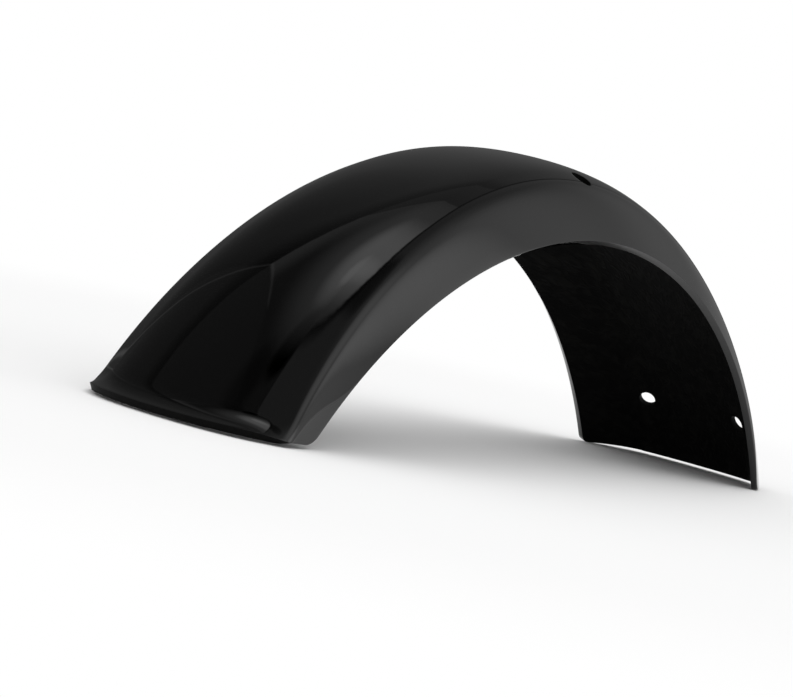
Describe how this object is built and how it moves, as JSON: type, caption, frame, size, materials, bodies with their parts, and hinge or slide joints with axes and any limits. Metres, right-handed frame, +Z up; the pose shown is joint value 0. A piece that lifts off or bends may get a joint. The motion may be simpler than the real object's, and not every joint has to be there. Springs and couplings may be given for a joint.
{
  "type": "scooter mudguard",
  "caption": "Arched one-piece mudguard: rounded crown, slanted side panels that narrow towards a turned-out lip, and two pairs of bolt holes, at the front end and on top.",
  "frame": {"origin": "floor level under the middle of the bounding box, the part standing on its two ends", "axes": "+X along the part towards the front end with the pair of bolt holes, +Y across it, +Z up; the wheel axle would lie along Y"},
  "size_m": [0.442, 0.1072, 0.1317],
  "materials": {
    "black_gelcoat": "high gloss black gelcoat on hand-laid glass fibre, satin inside"
  },
  "bodies": {
    "root": {"mudguard": "black_gelcoat"}
  },
  "joints": []
}
